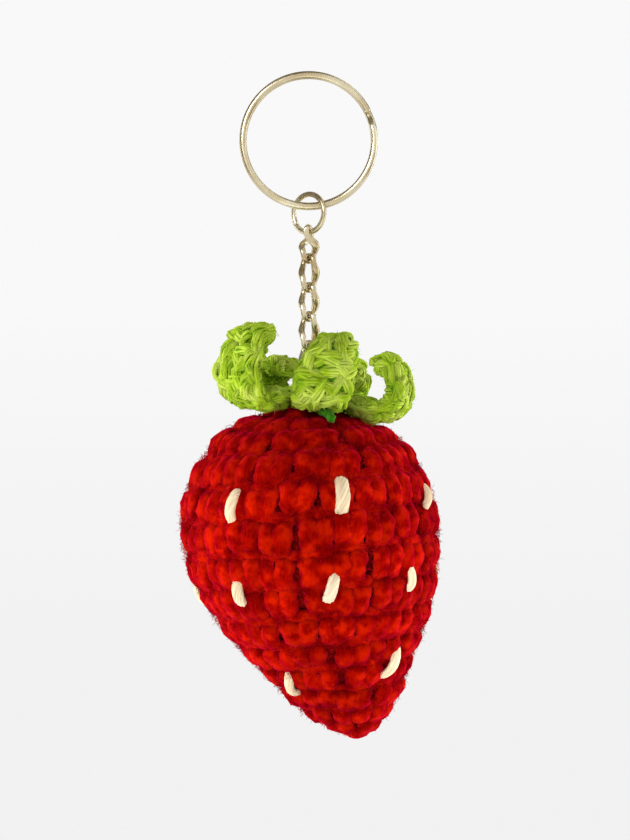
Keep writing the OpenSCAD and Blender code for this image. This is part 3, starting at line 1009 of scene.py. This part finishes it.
def yarn_end():
    """The short dark end of the sewing yarn, in front of the calyx."""
    lo, hi = (np.array(c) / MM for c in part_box("calyx_yarn_end"))
    points = [(lo[0] - 0.6, hi[1] + 2.2, hi[2] + 0.3), ((lo[0] + hi[0]) / 2, hi[1], hi[2] - 0.4),
              (hi[0] - 0.3, lo[1] + 0.4, lo[2] + 0.5)]
    parts = Parts()
    parts.plied_yarn(spline(points, 0.3), 0.85, 5)
    piece = parts.build("dark_yarn_end", DARK_GREEN)
    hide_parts("calyx_yarn_end")
    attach(piece, "strawberry")


def loop_and_knot():
    """The green loop that the last link holds, and the knot inside the crown."""
    lo, hi = (np.array(c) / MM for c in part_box("hanging_loop"))
    end_r = (LINK_W - LINK_WIRE) / 2
    turn = math.radians(-LINK_BOTTOM_TURN)
    across = np.array([math.cos(turn), math.sin(turn), 0])
    arc = np.radians(np.linspace(0, 180, 9))
    shoulder = hi[2] - 0.5 - end_r
    points = [across * end_r + [0, 0, lo[2]]]
    points += [across * end_r * math.cos(a) + [0, 0, shoulder + end_r * math.sin(a)] for a in arc]
    points += [-across * end_r + [0, 0, lo[2]]]
    parts = Parts()
    parts.plied_yarn(spline(points, 0.4), 0.5, 4)
    loop = parts.build("yarn_loop", GREEN)
    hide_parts("hanging_loop")
    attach(loop, "strawberry")
    lo, hi = (np.array(c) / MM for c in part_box("anchor_knot"))
    centre, r = (lo + hi) / 2, (hi[0] - lo[0]) / 2 - 0.5
    t = np.linspace(0, math.tau, 49)
    reach = 0.62 + 0.36 * np.cos(3 * t)
    coil = np.stack([reach * np.cos(2 * t), reach * np.sin(2 * t), 0.42 * np.sin(3 * t)], 1) * r
    parts = Parts()
    parts.plied_yarn(spline(centre + coil, 0.4), 0.75, 4)
    knot = parts.build("loop_knot", GREEN)
    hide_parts("anchor_knot")
    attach(knot, "strawberry")


def drawstring():
    """The red yarn that draws the crown shut."""
    lo, hi = (np.array(c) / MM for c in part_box("crown_drawstring"))
    centre, r = (lo + hi) / 2, (hi[0] - lo[0]) / 2 - 0.7
    points = [centre + np.array([r * math.cos(a), r * math.sin(a), 0]) for a in np.linspace(0, 6.2, 25)]
    parts = Parts()
    parts.plied_yarn(spline(points, 0.5), 0.68, 5)
    piece = parts.build("drawstring_yarn", RED)
    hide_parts("crown_drawstring")
    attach(piece, "strawberry")


def stuffing():
    """The filling keeps its CAD form, with a fibre material."""
    node = frame["nodes"]["stuffing"]
    for slot in node.material_slots:
        slot.material = FILLING


# ---------------- stage, light and camera

def stage():
    """A pale floor that curves up into a backdrop on all sides."""
    flat = STAGE_R * STAGE_FLAT
    bend = STAGE_R - flat
    profile = [(flat, FLOOR_Z)]
    for a in np.radians(np.linspace(0, 90, 17)[1:]):
        profile.append((flat + bend * math.sin(a), FLOOR_Z + bend * (1 - math.cos(a))))
    profile.append((STAGE_R, FLOOR_Z + bend + STAGE_WALL))
    sides = 64
    points = [(r * math.cos(a), r * math.sin(a), z) for r, z in profile for a in circle(sides)]
    faces = [tuple(range(sides))] + ring_faces(len(profile), sides)
    # The paper glows with a painted brightness of its own and takes no light from the lamps, so that no lamp
    # draws an edge on it.
    material, tree, shader = start_material("pale_paper", Roughness=1.0, Base_Color=(*grey(0.0), 1),
                                            Specular_IOR_Level=0.0, Emission_Strength=1.0)
    place = add_node(tree, "ShaderNodeTexCoord")
    split = add_node(tree, "ShaderNodeSeparateXYZ")
    tree.links.new(place.outputs["Generated"], split.inputs["Vector"])
    # Painted shade: the floor glows a little darker than the wall.
    shade = ramp(tree, split.outputs["Z"], [(0.0, grey(0.885)), (0.14, grey(0.945))])
    tree.links.new(shade, shader.inputs["Emission Color"])
    floor = mesh_object("stage", points, faces, material)
    floor.visible_diffuse = False
    floor.visible_shadow = False


def reflector():
    """A grey tube round the object, open to the camera, which only the metal's reflections see."""
    sides, radius, near, far = 48, 420, -800, 420
    middle_z = -50
    points = [(radius * math.cos(a), y, radius * math.sin(a) + middle_z)
              for y in (near, far) for a in circle(sides)]
    faces = [(j, (j + 1) % sides, sides + (j + 1) % sides, sides + j) for j in range(sides)]
    material, tree, shader = start_material("grey_card", Roughness=0.9)
    panels = object_noise(tree, Scale=3.2, Detail=0.0)
    shade = ramp(tree, panels.outputs["Fac"], [(0.50, (0.12, 0.11, 0.09)), (0.60, grey(1.0))])
    tree.links.new(shade, shader.inputs["Base Color"])
    tube = mesh_object("reflector", points, faces, material, smooth=False)
    tube.visible_camera = False
    tube.visible_diffuse = False
    tube.visible_shadow = False


def area_light(name, place, size, power):
    """A round soft lamp that faces the object; size in millimetres, power in watts."""
    data = bpy.data.lights.new(name, "AREA")
    data.shape = "DISK"
    data.size = size * MM
    data.energy = power
    lamp = add_object(name, data)
    lamp.location = Vector(place) * MM
    way = Vector(LIGHT_TARGET) * MM - lamp.location
    lamp.rotation_mode = "QUATERNION"
    lamp.rotation_quaternion = way.to_track_quat("-Z", "Y")


def lights():
    world = bpy.data.worlds.new("studio")
    bpy.context.scene.world = world
    world.use_nodes = True
    background = world.node_tree.nodes["Background"]
    background.inputs["Color"].default_value = (*grey(1.0), 1)
    background.inputs["Strength"].default_value = 0.46
    area_light("key", (-240, -560, 200), 220, 1.25)
    area_light("left_rim", (-560, 60, -60), 360, 3.4)
    area_light("right_rim", (520, 120, -100), 360, 4.1)
    area_light("top", (-60, -160, 560), 240, 0.5)
    area_light("below", (-60, -360, -420), 320, 2.0)


def camera():
    data = bpy.data.cameras.new("camera")
    data.lens = CAMERA_LENS
    data.sensor_width = 36
    made = add_object("camera", data)
    made.location = Vector(CAMERA_PLACE) * MM
    made.rotation_euler = (math.radians(90), 0, 0)
    data.clip_start = 0.01
    data.clip_end = 20
    bpy.context.scene.camera = made


camera()
stage()
reflector()
lights()
split_ring()
jump_ring()
for number in range(1, 6):
    chain_link(number)
surface = berry()
seeds(surface)
stuffing()
calyx_disc()
for name in LEAVES:
    leaf_piece(name)
yarn_end()
loop_and_knot()
drawstring()
closing_stitches(surface)

bpy.context.scene.view_settings.view_transform = "Standard"
